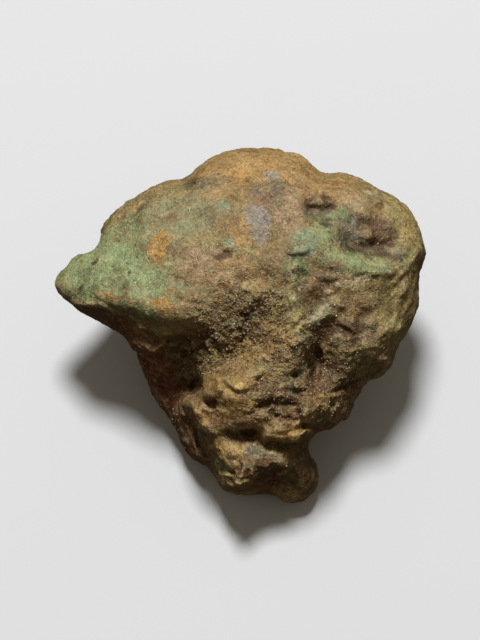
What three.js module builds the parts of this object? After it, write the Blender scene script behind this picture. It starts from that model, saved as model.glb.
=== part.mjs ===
// A rough turquoise nugget: one natural stone, about 35 mm across, of turquoise grown through sandy,
// iron-stained rock. It has a blunt nose on the left, a domed crown, a ledge that overhangs a hollow
// flank, a ridge on the right between a valley and a bowl, and a crumbly foot. It lies on a broken face
// of its back.
//
// Units are millimetres. The part's frame has +Z up and +X to the right, and its origin is under the
// middle of the stone, on the surface that the stone lies on.
//
// The stone is surveyed in a face frame: x runs to the right, y up the face and z out of it. The group
// at the end tips that frame, so that the face looks upwards and to the front.

import * as THREE from "three";
import { mergeVertices } from "three/addons/utils/BufferGeometryUtils.js";

// Driving dimensions
const LEAN_DEG = 28; // how far the face is tipped from level towards the front
const FACE_ORIGIN = [-0.06, -1.6, 11.6]; // the face frame's origin in the part's frame
const REST_DEPTH = FACE_ORIGIN[2]; // from the face frame's origin to the broken face that it lies on
const EDGE_RADIUS = 0.45; // how softly the faces of the stone run into one another
const OUTLINE_GROWTH = 0.15; // what that softness takes off the outline, put back
const RIM_BAND = 1.2; // half the height of the upright band along the rim
const SIDE_LEAN = 0.3; // how fast the sides draw in above and below that band
const FACE_SLOPE = 0.8; // the face's height difference as a distance, on a typical slope
const SPOT_SOFTNESS = 0.9; // how rounded the surveyed surface is at a spot height
const SPHERE_DETAIL = 21; // divisions of an icosahedron's edges: 20 * (detail + 1) ^ 2 triangles
const HEART = [0.5, 0.5, -2]; // a point from which all of the surface can be seen

// The outline seen straight down the face, clockwise from the tip of the nose
const OUTLINE = [
  // nose, and the notch behind it
  [-17.6, 4.0], [-17.3, 5.0], [-16.3, 6.1], [-15.0, 6.9], [-13.7, 7.5], [-13.5, 8.5],
  // left shoulder
  [-13.1, 9.4], [-12.4, 10.4], [-11.5, 11.4], [-10.7, 12.0], [-8.2, 13.2], [-5.4, 14.1],
  // crown
  [-4.5, 14.8], [-2.7, 16.1], [-1.6, 16.5], [-0.3, 16.8], [2.9, 16.9], [4.2, 16.6], [5.6, 16.2],
  // saddle and right lobe
  [7.4, 14.8], [8.2, 14.5], [9.8, 14.5], [11.8, 13.7], [13.1, 12.9], [15.1, 12.0], [15.9, 11.1],
  [16.6, 10.0], [17.1, 9.0], [17.5, 7.3], [17.6, 6.6], [17.1, 5.5], [16.9, 2.9], [16.5, 1.1],
  // lower right side, with its two knobs
  [16.0, -0.2], [15.1, -1.6], [14.6, -2.9], [14.1, -4.1], [13.2, -4.8], [12.1, -5.2], [11.4, -6.2],
  [10.6, -7.2], [10.3, -8.5], [9.3, -9.2], [8.0, -10.1], [6.3, -11.1],
  // foot
  [6.7, -12.0], [7.2, -13.3], [7.4, -14.6], [7.0, -15.7], [6.1, -16.5], [5.0, -16.8], [4.0, -16.6],
  [3.2, -16.1], [0.7, -16.2], [-0.9, -15.9], [-1.9, -15.1], [-3.4, -13.2],
  // flank, and back under the nose
  [-4.5, -12.7], [-5.4, -11.5], [-6.7, -9.1], [-8.3, -7.0], [-9.5, -4.4], [-10.0, -2.5],
  [-11.0, -1.1], [-12.3, -0.3], [-15.8, 1.9], [-16.9, 2.8], [-17.5, 3.4],
];

// Height of the rim, where the outline lies between the face and the back: x, y, z
const RIM = [
  [-17.6, 4.0, -0.8],
  [-11.5, 11.4, -1.5],
  [2.9, 16.9, -3.0],
  [15.1, 12.0, -2.0],
  [17.6, 6.6, -2.4],
  [15.1, -1.6, -3.0],
  [10.3, -8.5, -2.6],
  [5.0, -16.8, -3.0],
  [-3.4, -13.2, -4.2],
  [-9.5, -4.4, -4.6],
  [-13.0, 0.2, -2.0],
];

// Spot heights of the face: x, y, z
const FACE = [
  // crown and left shoulder
  [-3.0, 15.2, 1.5], [2.0, 15.3, 2.2], [5.6, 13.6, 3.8], [0.0, 11.5, 5.6], [4.6, 11.6, 6.2],
  [-5.0, 12.0, 3.6], [-9.0, 11.0, 2.6], [-12.0, 9.2, 1.8],
  // nose
  [-16.8, 4.2, 0.6], [-15.2, 5.6, 1.6], [-15.0, 3.6, 2.0], [-12.8, 6.4, 3.0], [-12.0, 3.6, 3.7],
  [-9.5, 6.5, 4.6], [-8.5, 3.5, 5.4], [-9.5, 9.0, 3.7],
  // edge of the ledge
  [-15.6, 2.6, 1.4], [-13.6, 2.1, 2.6], [-11.0, 1.5, 4.0], [-8.6, 0.8, 5.2], [-6.0, 0.3, 5.9],
  [-3.4, -0.3, 6.3], [-1.5, -0.8, 6.3],
  // under the ledge
  [-13.5, 0.8, -0.8], [-11.4, -0.1, -0.6], [-9.6, -1.2, -0.8], [-7.4, -1.4, 0.4], [-5.4, -2.1, 0.8],
  [-3.4, -2.8, 2.4], [-1.6, -3.4, 4.2],
  // flank and the pocket beside the knob
  [-9.0, -4.2, -3.2], [-7.2, -4.2, -1.8], [-7.8, -6.8, -3.6], [-6.4, -7.0, -2.4], [-6.2, -9.4, -2.8],
  [-5.2, -9.6, -1.6], [-4.5, -12.2, -2.2], [-4.7, -5.3, -2.6], [-4.6, -3.8, -0.6],
  // middle of the face
  [-5.0, 8.0, 5.9], [-4.5, 4.0, 6.9], [0.0, 8.0, 7.2], [0.0, 4.0, 7.6], [3.0, 8.5, 7.4],
  [3.6, 5.0, 8.0], [-1.4, 1.6, 7.0], [1.2, 3.0, 7.3], [4.4, 1.6, 7.6], [5.2, -0.4, 7.5],
  // crumbly hollow under it
  [0.4, 0.9, 6.3], [1.8, 1.0, 6.0], [2.4, -1.0, 6.4], [-0.2, -2.2, 5.4], [3.6, -2.4, 6.9],
  // knob
  [-2.8, -5.4, 4.8], [-1.2, -4.8, 6.6], [2.2, -4.2, 7.0], [5.0, -3.6, 7.0], [0.5, -7.0, 6.7],
  [4.0, -7.4, 6.4], [-4.9, -7.2, 3.4], [-2.6, -8.0, 5.0], [-3.9, -9.2, 2.8], [0.0, -9.3, 5.2],
  [3.0, -9.7, 6.0], [6.2, -9.4, 5.6], [6.4, -7.2, 6.0], [8.0, -7.0, 5.0], [7.6, -9.2, 2.0],
  [9.8, -7.6, 2.8],
  // crack across the foot
  [-2.8, -11.4, 3.4], [0.4, -10.5, 3.6], [2.6, -10.9, 3.5], [4.8, -11.1, 3.0],
  // foot
  [-1.2, -12.2, 5.0], [1.4, -12.0, 5.0], [3.6, -12.5, 4.4], [-1.6, -14.4, 1.8], [0.2, -14.6, 2.6],
  [3.0, -14.2, 1.6], [6.0, -13.2, 1.2], [5.8, -15.4, -0.2], [1.6, -15.4, -0.1], [-0.6, -15.3, -0.6],
  // right lobe, with the pocket and the valley above the ridge
  [6.9, 11.3, 3.0], [8.6, 13.0, 3.6], [12.0, 11.2, 4.6], [14.6, 9.9, 3.4], [16.2, 7.4, 1.4],
  [7.2, 9.4, 5.6], [9.4, 10.4, 4.8], [10.4, 8.5, 3.6], [13.0, 8.5, 2.4],
  // ridge
  [5.4, 7.4, 7.8], [8.8, 6.6, 7.4], [11.6, 5.8, 6.6], [14.4, 5.8, 4.6],
  // bowl and the right face
  [8.2, 4.2, 5.6], [7.0, 2.0, 5.8], [10.6, 2.8, 6.4], [13.6, 2.4, 4.6], [15.8, 2.2, 1.6],
  [9.0, 0.4, 5.8], [10.4, -0.4, 6.0], [13.2, -1.2, 3.6], [8.9, -2.6, 5.2], [10.6, -3.8, 3.7],
  [12.8, -4.0, 0.8], [9.4, -5.4, 3.8], [11.0, -5.6, 1.0],
  // valley between the right face and the knob
  [7.2, -1.0, 4.6], [6.9, -2.8, 4.5], [6.9, -4.6, 4.0],
];

// Broken faces of the back: an outward direction and the distance to the face along it
const BACK = [
  { name: "upper", out: [0.1, 0.85, -0.5], depth: 17.4 },
  { name: "upper left", out: [-0.5, 0.55, -0.66], depth: 14.8 },
  { name: "left", out: [-0.75, 0.05, -0.65], depth: 15.0 },
  { name: "right", out: [0.8, 0.1, -0.58], depth: 17.2 },
  { name: "upper right", out: [0.55, 0.45, -0.7], depth: 16.4 },
  { name: "lower left", out: [-0.6, -0.5, -0.62], depth: 13.0 },
  { name: "lower right", out: [0.68, -0.28, -0.68], depth: 14.4 },
];
const BACK_RADIUS = 1.1; // how softly the broken faces of the back meet
const BACK_LUMP = 0.9; // height of the lumps on the back
const BACK_LUMP_SIZE = 4.5; // from one lump to the next
const LUMPS_BEHIND = [1, 5]; // how far behind the rim the lumps begin, and are full

const RELAX_ROUNDS = 10;
const REST_SNAP = 0.12; // a vertex this near the resting face lies on it

const lean = THREE.MathUtils.degToRad(LEAN_DEG);
const REST_OUT = [0, -Math.sin(lean), -Math.cos(lean)]; // straight down, seen in the face frame

const dot = (a, b) => a[0] * b[0] + a[1] * b[1] + a[2] * b[2];

// The greatest of the values, rounded off over about `radius` where two of them are alike.
function softMax(values, radius) {
  const top = Math.max(...values);
  return top + radius * Math.log(values.reduce((sum, v) => sum + Math.exp((v - top) / radius), 0));
}

// Signed distance from the outline, negative inside it.
function outlineDistance(x, y) {
  let nearest = Infinity;
  let inside = false;
  OUTLINE.forEach(([ax, ay], i) => {
    const [bx, by] = OUTLINE[(i + 1) % OUTLINE.length];
    const ex = bx - ax;
    const ey = by - ay;
    const along = ((x - ax) * ex + (y - ay) * ey) / (ex * ex + ey * ey);
    const t = THREE.MathUtils.clamp(along, 0, 1);
    nearest = Math.min(nearest, Math.hypot(x - ax - t * ex, y - ay - t * ey));
    if (ay > y !== by > y && x < ax + (ex * (y - ay)) / ey) inside = !inside;
  });
  return inside ? -nearest : nearest;
}

// Solves a square system of equations, given as rows that end in their right-hand side.
function solve(rows) {
  const n = rows.length;
  for (let i = 0; i < n; i += 1) {
    let pivot = i;
    for (let k = i + 1; k < n; k += 1) if (Math.abs(rows[k][i]) > Math.abs(rows[pivot][i])) pivot = k;
    [rows[i], rows[pivot]] = [rows[pivot], rows[i]];
    for (let k = i + 1; k < n; k += 1) {
      const share = rows[k][i] / rows[i][i];
      for (let j = i; j <= n; j += 1) rows[k][j] -= share * rows[i][j];
    }
  }
  const answer = new Array(n).fill(0);
  for (let i = n - 1; i >= 0; i -= 1) {
    const known = answer.reduce((sum, a, j) => sum + a * rows[i][j], 0);
    answer[i] = (rows[i][n] - known) / rows[i][i];
  }
  return answer;
}

// Hardy's multiquadric surface, which passes smoothly through every spot height.
function surfaceThrough(spots) {
  const cone = (x, y, [sx, sy]) => Math.hypot(x - sx, y - sy, SPOT_SOFTNESS);
  const weights = solve(spots.map(([x, y, z]) => [...spots.map((s) => cone(x, y, s)), z]));
  return (x, y) => spots.reduce((sum, s, i) => sum + weights[i] * cone(x, y, s), 0);
}

// A fixed pseudo-random number from 0 to 1 for each whole-numbered point.
function scatter(i, j, k) {
  const wave = Math.sin(i * 127.1 + j * 311.7 + k * 74.7) * 43758.5453;
  return wave - Math.floor(wave);
}

// Smooth lumps from -1 to 1, one unit apart.
function lumps(x, y, z) {
  const [i, j, k] = [x, y, z].map(Math.floor);
  const [fx, fy, fz] = [x - i, y - j, z - k].map((f) => f * f * (3 - 2 * f));
  let sum = 0;
  for (const [di, dj, dk] of [0, 1, 2, 3, 4, 5, 6, 7].map((c) => [c & 1, (c >> 1) & 1, c >> 2])) {
    const share = (di ? fx : 1 - fx) * (dj ? fy : 1 - fy) * (dk ? fz : 1 - fz);
    sum += share * scatter(i + di, j + dj, k + dk);
  }
  return 2 * sum - 1;
}

const faceHeight = surfaceThrough(FACE);
const rimHeight = surfaceThrough(RIM);

// The stone as a field: negative inside it, positive outside, and nearly a distance close to its surface.
function stone([x, y, z]) {
  const rim = rimHeight(x, y);
  const drawnIn = SIDE_LEAN * Math.max(0, Math.abs(z - rim) - RIM_BAND);
  const side = outlineDistance(x, y) - OUTLINE_GROWTH + drawnIn;
  const face = FACE_SLOPE * (z - faceHeight(x, y));
  const behind = THREE.MathUtils.smoothstep(rim - z, ...LUMPS_BEHIND);
  const lump = BACK_LUMP * lumps(x / BACK_LUMP_SIZE, y / BACK_LUMP_SIZE, z / BACK_LUMP_SIZE);
  const back = softMax(BACK.map((b) => dot(b.out, [x, y, z]) - b.depth), BACK_RADIUS);
  const rest = dot(REST_OUT, [x, y, z]) - REST_DEPTH;
  return softMax([side + behind * lump, face, back + behind * lump, rest], EDGE_RADIUS);
}

// The field's gradient, by differences.
function slope(p) {
  const step = 0.02;
  return [0, 1, 2].map((axis) => {
    const ahead = p.map((v, i) => v + (i === axis ? step : 0));
    const behind = p.map((v, i) => v - (i === axis ? step : 0));
    return (stone(ahead) - stone(behind)) / (2 * step);
  });
}

// Where a ray from the heart of the stone first leaves it.
function castOut(direction) {
  const at = (r) => HEART.map((h, i) => h + r * direction[i]);
  const stride = 0.3;
  const halvings = 16;
  let far = stride;
  while (stone(at(far)) < 0) far += stride;
  let near = far - stride;
  for (let i = 0; i < halvings; i += 1) {
    const middle = (near + far) / 2;
    if (stone(at(middle)) < 0) near = middle;
    else far = middle;
  }
  return at((near + far) / 2);
}

// Moves a point that is near the surface onto it, by at most `reach`.
function settle(p) {
  const reach = 0.4;
  const g = slope(p);
  const step = THREE.MathUtils.clamp(stone(p) / dot(g, g), -reach, reach);
  return p.map((v, i) => v - step * g[i]);
}

// A sphere's triangles, cast onto the stone and then evened out over its surface.
function stoneGeometry() {
  const sphere = new THREE.IcosahedronGeometry(1, SPHERE_DETAIL);
  sphere.deleteAttribute("normal");
  sphere.deleteAttribute("uv");
  const geometry = mergeVertices(sphere, 1e-5);
  const position = geometry.getAttribute("position");
  const corners = geometry.getIndex().array;

  const neighbours = Array.from({ length: position.count }, () => new Set());
  for (let t = 0; t < corners.length; t += 3) {
    const triangle = [corners[t], corners[t + 1], corners[t + 2]];
    triangle.forEach((v) => triangle.forEach((w) => v !== w && neighbours[v].add(w)));
  }

  const direction = new THREE.Vector3();
  let points = neighbours.map((_, v) => castOut(direction.fromBufferAttribute(position, v).toArray()));
  for (let round = 0; round < RELAX_ROUNDS; round += 1) {
    points = points.map((p, v) => {
      const around = [...neighbours[v]].map((w) => points[w]);
      const middle = [0, 1, 2].map((i) => around.reduce((sum, q) => sum + q[i], 0) / around.length);
      return settle(settle(p.map((value, i) => (value + middle[i]) / 2)));
    });
  }

  points.forEach((p, v) => {
    const height = REST_DEPTH - dot(REST_OUT, p);
    const drop = height < REST_SNAP ? height : 0;
    position.setXYZ(v, ...p.map((value, i) => value + drop * REST_OUT[i]));
  });
  geometry.computeVertexNormals();
  return geometry;
}

const nugget = new THREE.Mesh(
  stoneGeometry(),
  new THREE.MeshStandardMaterial({ color: 0x8a7a55, roughness: 0.85, metalness: 0, flatShading: true }),
);
nugget.name = "turquoise_nugget";

const part = new THREE.Group();
part.add(nugget);
part.rotation.x = lean;
part.position.set(...FACE_ORIGIN);
export default part;
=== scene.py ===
import math

import bmesh
import bpy
import numpy as np
from mathutils import Matrix, Vector, noise


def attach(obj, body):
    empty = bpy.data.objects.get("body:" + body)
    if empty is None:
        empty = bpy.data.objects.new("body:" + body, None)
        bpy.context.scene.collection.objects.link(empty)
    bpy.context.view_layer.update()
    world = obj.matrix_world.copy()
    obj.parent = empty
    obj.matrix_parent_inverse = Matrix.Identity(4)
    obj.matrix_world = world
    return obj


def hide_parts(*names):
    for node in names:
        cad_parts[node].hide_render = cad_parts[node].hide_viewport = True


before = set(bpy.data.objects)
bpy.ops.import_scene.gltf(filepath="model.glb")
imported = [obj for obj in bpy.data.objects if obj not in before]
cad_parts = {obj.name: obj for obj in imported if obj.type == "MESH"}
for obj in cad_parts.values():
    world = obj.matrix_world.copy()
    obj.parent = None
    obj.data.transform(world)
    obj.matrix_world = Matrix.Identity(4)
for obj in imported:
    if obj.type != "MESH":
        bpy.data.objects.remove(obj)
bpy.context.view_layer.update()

# The stone: one nugget of turquoise that grew through sandy, iron-stained rock, with seams of lilac and
# milky quartz. It broke out of its vein with a smooth green nose, a crumbly middle and a knobbly foot.
# It is one piece: its relief is worked out in a face frame, in millimetres, with z out of the seen face.
MM = 0.001
FACE_LEAN = math.radians(28)
FACE_ORIGIN = np.array([-0.06, -1.6, 11.6])
FACE_TO_ROW = np.array(Matrix.Rotation(FACE_LEAN, 3, "X"))

# Hollows: middle x and y, half length, half width, turn in degrees, depth
HOLLOWS = {
    "pocket beside the knob": (-4.3, -5.9, 1.1, 0.7, 60, 1.5),
    "upper corner of that pocket": (-4.2, -4.9, 0.5, 0.4, 0, 0.4),
    "square hole in the knob": (-2.8, -7.2, 0.7, 0.45, 0, 1.0),
    "hollow below the knob": (2.3, -7.1, 1.1, 0.45, 5, 0.8),
    "grains below that hollow": (2.7, -8.6, 0.6, 0.7, 0, 0.25),
    "hole in the hook": (5.3, -4.6, 0.5, 0.38, 20, 0.95),
    "slit over the crumbs": (1.0, 1.5, 1.4, 0.3, 22, 0.3),
    "crumbly hollow": (0.2, 0.0, 1.7, 0.9, -35, 0.15),
    "brown recess beside the knob": (4.1, -7.8, 1.6, 1.0, 0, 0.8),
    "dark valley": (11.6, 7.1, 2.1, 0.7, -10, 0.3),
    "dark brow": (7.4, 11.0, 1.5, 0.5, 5, 0.45),
    "crumbly hollow, left": (-1.9, -0.6, 1.9, 0.6, 10, 0.35),
    "crumbly hollow, low": (0.0, -1.1, 1.0, 0.45, -10, 0.35),
    "black gap under the ledge": (-4.4, -0.9, 1.9, 0.6, 8, 0.6),
    "dark gap below that": (-4.6, -2.4, 1.4, 0.5, 15, 0.65),
    "dark pits by the teal spot": (-1.4, 6.7, 0.6, 0.25, -15, 0.3),
    "second pit": (-0.5, 6.3, 0.5, 0.18, 10, 0.25),
    "dent under the crown": (1.7, 13.4, 1.4, 0.6, 10, 0.2),
    "dent on the shoulder": (-4.3, 12.7, 1.0, 0.9, 0, 0.2),
    "small dent there": (-9.9, 11.0, 0.8, 0.4, 0, 0.2),
    "pits by the crown": (4.3, 13.7, 0.6, 0.35, -40, 0.25),
    "second crevice": (11.0, 4.2, 0.7, 0.22, -5, 0.15),
    "dark hollow": (9.3, -0.4, 1.7, 0.75, -10, 0.5),
    "dark hollow below it": (7.0, -3.7, 0.65, 2.2, 0, 0.7),
    "dent behind the ledge": (-5.5, 4.0, 1.1, 0.6, -20, 0.2),
    "first pit in the foot": (-0.35, -13.3, 0.35, 0.65, 0, 0.5),
    "second pit in the foot": (0.7, -13.9, 0.45, 0.55, -20, 0.45),
    "dark speck": (-13.8, 6.2, 0.3, 0.13, 50, 0.15),
    "small dark speck": (-10.8, 4.75, 0.16, 0.13, 0, 0.12),
    "speck near the ledge": (-14.9, 3.6, 0.25, 0.2, 0, 0.12),
}

# Cracks: width, depth and the points that they run through
CRACKS = {
    "seam beside the neck": (0.55, 0.8, [
        (-5.6, -7.6), (-4.9, -9.0), (-4.2, -10.4), (-3.6, -11.8), (-3.0, -13.0)]),
    "gap under the knob": (0.6, 0.6, [(-1.2, -9.9), (0.0, -10.1), (1.1, -10.0)]),
    "wide end of that gap": (0.7, 0.5, [(0.2, -10.0), (1.3, -9.7)]),
    "crack under the bar": (0.3, 0.6, [(2.0, -10.9), (3.4, -11.3), (5.1, -11.2), (6.5, -10.9)]),
    "slit above the bar": (0.5, 0.7, [(3.2, -8.4), (4.2, -8.6), (5.0, -8.9)]),
    "crack in the bar": (0.18, 0.25, [(2.1, -9.7), (2.7, -10.1), (3.3, -10.7)]),
    "slit in the bowl": (0.25, 0.25, [(7.6, 4.1), (8.2, 3.6), (8.9, 3.2)]),
    "slit in the right face": (0.3, 0.12, [(12.0, 3.6), (12.8, 3.3), (13.5, 3.15)]),
    "valley beside the knob": (1.3, 0.6, [(7.7, -0.8), (7.1, -2.2), (6.7, -3.6), (6.7, -5.0)]),
    "crack low on the right": (0.5, 0.8, [(8.3, -6.0), (9.3, -5.8), (10.2, -5.5), (10.9, -5.3)]),
    "groove beside the plate": (0.5, 0.6, [(8.4, -6.7), (8.6, -7.6), (8.3, -8.5)]),
    "cavity in the foot": (0.8, 0.7, [(1.7, -14.4), (2.6, -14.0), (3.6, -13.6)]),
    "second cavity in the foot": (0.8, 0.6, [(3.0, -15.0), (3.8, -15.2), (4.7, -15.0)]),
    "groove on the left shoulder": (0.4, 0.2, [(-11.5, 11.6), (-11.2, 10.9), (-11.1, 10.1)]),
    "second groove there": (0.4, 0.2, [(-13.2, 9.7), (-13.1, 9.0), (-13.0, 8.4)]),
    "crack by the right rim": (0.35, 0.3, [(13.3, 11.9), (13.5, 11.4), (13.3, 10.9)]),
    "crack at the ridge's end": (0.35, 0.3, [(14.4, 5.1), (14.9, 5.2), (15.6, 5.5)]),
    "crack round the low knob": (0.3, 0.4, [(12.3, -4.3), (12.7, -3.5), (13.3, -2.9), (14.2, -2.6)]),
    "fold on the low knob": (0.25, 0.25, [(12.9, -4.5), (13.5, -3.8), (14.3, -3.3)]),
    "line in the middle": (0.2, 0.25, [(1.0, 7.6), (1.15, 7.1), (1.1, 6.6)]),
    "stratum behind the ledge": (0.4, 0.2, [(-5.8, 2.6), (-3.6, 2.0), (-1.6, 1.6)]),
    "stratum under the ledge": (0.45, 0.15, [(-12.8, 0.6), (-9.8, -0.8), (-7.2, -1.6), (-4.4, -2.6)]),
    "second stratum": (0.4, 0.25, [(-10.6, -1.4), (-8.4, -2.4), (-6.2, -3.2), (-4.2, -3.6)]),
    "third stratum": (0.4, 0.25, [(-9.4, -3.6), (-7.6, -4.6), (-6.0, -5.0)]),
    "fold in the flank": (0.7, 0.3, [(-7.8, -5.2), (-6.9, -7.4), (-6.2, -9.2)]),
}

# Lumps: middle x and y, half length, half width, turn in degrees, height
LUMPS = {
    "knob": (-0.8, -6.2, 2.6, 2.2, 0, 0.55),
    "top of the knob": (-2.8, -5.5, 0.95, 1.3, 0, 0.65),
    "knob, right": (0.2, -5.0, 1.5, 0.8, 12, 0.4),
    "knob, middle": (-0.3, -7.0, 1.3, 0.8, -10, 0.4),
    "knob, low": (0.0, -8.4, 2.3, 0.8, 0, 0.3),
    "first lump on the neck": (-4.8, -7.3, 0.8, 0.5, -30, 0.4),
    "second lump on the neck": (-3.9, -8.6, 1.0, 0.7, -50, 0.5),
    "third lump on the neck": (-3.3, -9.4, 0.7, 0.5, -30, 0.45),
    "quartz plate": (7.1, -6.9, 1.5, 1.2, 20, 0.45),
    "lump above the plate": (7.1, -5.6, 0.6, 0.35, 10, 0.4),
    "end of the bar": (2.4, -10.1, 0.75, 0.65, 20, 0.3),
    "teal boss": (5.6, 7.9, 1.4, 1.3, 0, 0.3),
    "green shoulder": (7.8, 8.7, 1.3, 1.4, 0, 0.3),
    "pinkish hump": (11.4, 10.4, 0.8, 0.6, -10, 0.3),
    "streak by the rim": (12.2, 12.1, 0.9, 0.45, -35, 0.22),
    "yellow lump on the foot": (-0.8, -11.7, 1.05, 0.75, -5, 0.45),
    "orange lump on the foot": (0.1, -12.5, 0.45, 0.4, 0, 0.3),
    "grey patch on the foot": (1.4, -11.5, 1.2, 0.7, -10, 0.28),
    "tip of the tan ridge": (4.0, -12.8, 0.6, 0.45, -10, 0.3),
    "green lump on the foot": (-1.7, -13.2, 0.8, 0.9, 0, 0.5),
    "pale green lump": (0.3, -14.6, 1.0, 0.5, 8, 0.45),
    "right lobe of the foot": (6.1, -13.9, 1.0, 2.1, 0, 0.4),
    "left toe": (-0.6, -15.5, 1.9, 0.6, -10, 0.4),
    "right toe": (4.3, -16.2, 1.5, 0.6, 0, 0.3),
    "lumps under the ledge": (-2.4, -1.1, 0.9, 0.4, -15, 0.4),
    "crystals on the knob": (-1.4, -4.7, 0.5, 0.4, 0, 0.3),
    "bead on the knob": (-0.2, -5.7, 0.55, 0.45, 0, 0.3),
    "brow of the knob": (1.3, -4.4, 0.9, 0.5, 10, 0.35),
    "pale bead over the crumbs": (-4.1, 2.6, 0.6, 0.4, 10, 0.2),
    "yellow pebble": (-2.6, -2.6, 0.7, 0.38, 0, 0.55),
    "third lump there": (-3.6, -3.9, 0.6, 0.35, 20, 0.35),
    "pale lump in the bowl": (8.1, 3.25, 0.6, 0.35, 0, 0.15),
    "pale grey patch": (9.4, 2.2, 0.6, 0.5, 0, 0.15),
    "lime spot": (6.0, -0.2, 0.7, 0.45, -30, 0.25),
    "pale streak by the rib": (7.4, 0.9, 1.2, 0.6, 40, 0.3),
    "streaky grey lump": (11.2, 0.4, 1.3, 0.9, 10, 0.25),
    "rough lump on the slope": (10.2, -2.6, 1.0, 0.6, 30, 0.25),
    "second rough lump": (9.4, -4.4, 1.2, 0.6, 10, 0.25),
    "low knob on the right": (13.5, -3.8, 0.9, 0.95, -30, 0.4),
    "outer piece": (9.7, -7.5, 0.9, 1.3, -15, 0.3),
}

# Broken faces that lie flatter than the rock round them: middle x and y, half length, half width, turn,
# height, and how much they rise for each millimetre to the right and upward
FACES = {
    "face of the bar": (4.3, -9.95, 2.5, 1.05, 5, 0.75, 0.0, -0.85),
    "front of the foot": (-0.4, -13.9, 2.1, 1.7, 0, 1.0, 0.0, -0.9),
    "lower front of the foot": (-1.0, -14.6, 1.7, 0.9, -8, 1.2, 0.0, -0.3),
    "right end of the bar": (5.8, -10.2, 1.3, 0.9, 0, 1.9, 0.6, -1.2),
    "lower side of the plate": (7.2, -8.2, 1.7, 1.1, 10, 0.9, 0.3, -0.6),
    "tan ridge on the foot": (2.6, -12.6, 1.9, 0.7, -4, 0.25, 0.0, -0.3),
    "slab along the seam": (-5.3, -10.4, 2.6, 0.9, -62, 0.4, 0.0, -0.3),
    "right face": (13.6, 2.4, 2.9, 4.2, 12, 0.45, 0.12, -0.05),
    "low right face": (13.2, -1.2, 2.4, 3.2, 30, 0.9, 0.5, -0.4),
    "green slope of the ridge": (11.2, 6.0, 3.2, 1.2, -14, 0.12, 0.0, -0.2),
    "right rim": (14.8, 8.8, 2.3, 4.0, 8, 0.3, 0.35, 0.0),
    "right edge": (15.6, 4.0, 1.8, 5.0, 0, 1.2, 0.8, 0.0),
    "underside of the nose": (-13.6, 1.0, 2.8, 1.2, -18, 1.1, -0.3, -0.1),
    "underside of the ledge": (-9.9, -0.8, 3.8, 1.5, -17, 2.2, -0.2, -1.3),
}

# Soft swells, that fade out all the way: middle x and y, half length, half width, turn in degrees, height
SWELLS = {
    "floor of the dark pocket": (7.1, 11.4, 1.5, 1.75, 0, 1.9),
    "floor of the valley": (12.5, 9.0, 1.9, 1.5, -10, 1.15),
    "slope above the valley": (11.6, 8.5, 3.0, 1.0, -8, 0.95),
    "bowl": (8.2, 3.6, 2.6, 2.4, -10, 1.2),
    "upper end of the bowl": (8.0, 4.7, 1.3, 0.7, -10, 0.5),
    "low right face": (12.6, -1.4, 2.4, 1.6, 20, 0.5),
    "crumbs above the knob": (-3.0, -3.3, 1.7, 1.1, -10, 1.5),
    "underside of the tan ridge": (1.4, -13.9, 1.1, 0.8, 0, 0.35),
    "left end of the bar": (3.2, -10.4, 1.4, 0.7, 0, 0.35),
    "crevice beside the rib": (8.4, -0.9, 1.5, 1.6, 0, 1.0),
    "dent over the crumbs": (1.2, 2.3, 2.2, 1.1, 12, 0.8),
    "middle of the bowl": (7.3, 3.1, 1.2, 1.0, 0, 0.6),
    "end of the tan ridge": (3.2, -11.7, 1.3, 0.7, -8, 0.5),
    "brown slope under the lime spot": (5.7, -1.4, 1.4, 1.0, 0, 0.8),
    "underside of the knob": (-2.2, -9.4, 2.4, 0.8, 0, 0.5),
    "underside of the knob, right": (0.7, -9.3, 1.5, 0.7, 0, 0.7),
    "left side of the foot": (-2.5, -13.3, 0.9, 1.0, 0, 0.7),
    "ground under the slit": (1.4, 1.2, 2.0, 1.0, 12, 0.4),
    "lower ground there": (1.0, 0.0, 1.9, 0.9, 0, 0.7),
    "crumbs by the pocket": (-4.9, -4.5, 1.1, 0.6, 10, 0.9),
    "right lobe, low": (13.2, -3.0, 1.6, 1.2, 0, 0.6),
    "outer piece": (8.4, -8.8, 1.4, 0.7, 0, 0.4),
    "bright crumbs": (3.0, -2.1, 2.8, 1.3, 0, 0.6),
    "brow": (7.3, 12.4, 1.5, 0.8, 0, 0.4),
    "rock under the hook": (5.9, -5.7, 1.1, 0.8, 0, 0.45),
    "right face beside the crevice": (10.9, -4.2, 1.4, 1.2, 0, 0.6),
    "brown rock over the bar": (7.6, -9.3, 1.1, 0.8, -20, 0.4),
}

# Ridges: width, height and the points that they run through
RIDGES = {
    "vein in the slab": (1.3, 0.45, [(-5.9, -8.9), (-5.4, -9.9), (-5.0, -10.9)]),
    "small ridge on the foot": (0.5, 0.2, [(2.0, -12.1), (3.2, -12.0), (4.3, -12.1)]),
    "hook": (0.7, 0.75, [(6.4, -4.2), (6.2, -5.1), (5.5, -5.6), (4.9, -5.4)]),
    "lip of the boss": (0.4, 0.15, [(4.6, 7.05), (5.2, 6.85), (6.0, 6.9)]),
    "right arm of the rib": (1.5, 0.45, [(6.5, 0.3), (7.4, 0.9), (8.2, 1.5), (8.8, 2.3)]),
    "left arm of the rib": (1.1, 0.4, [(4.8, 5.2), (4.6, 3.6), (5.0, 1.9), (5.4, 0.9)]),
}

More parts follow.
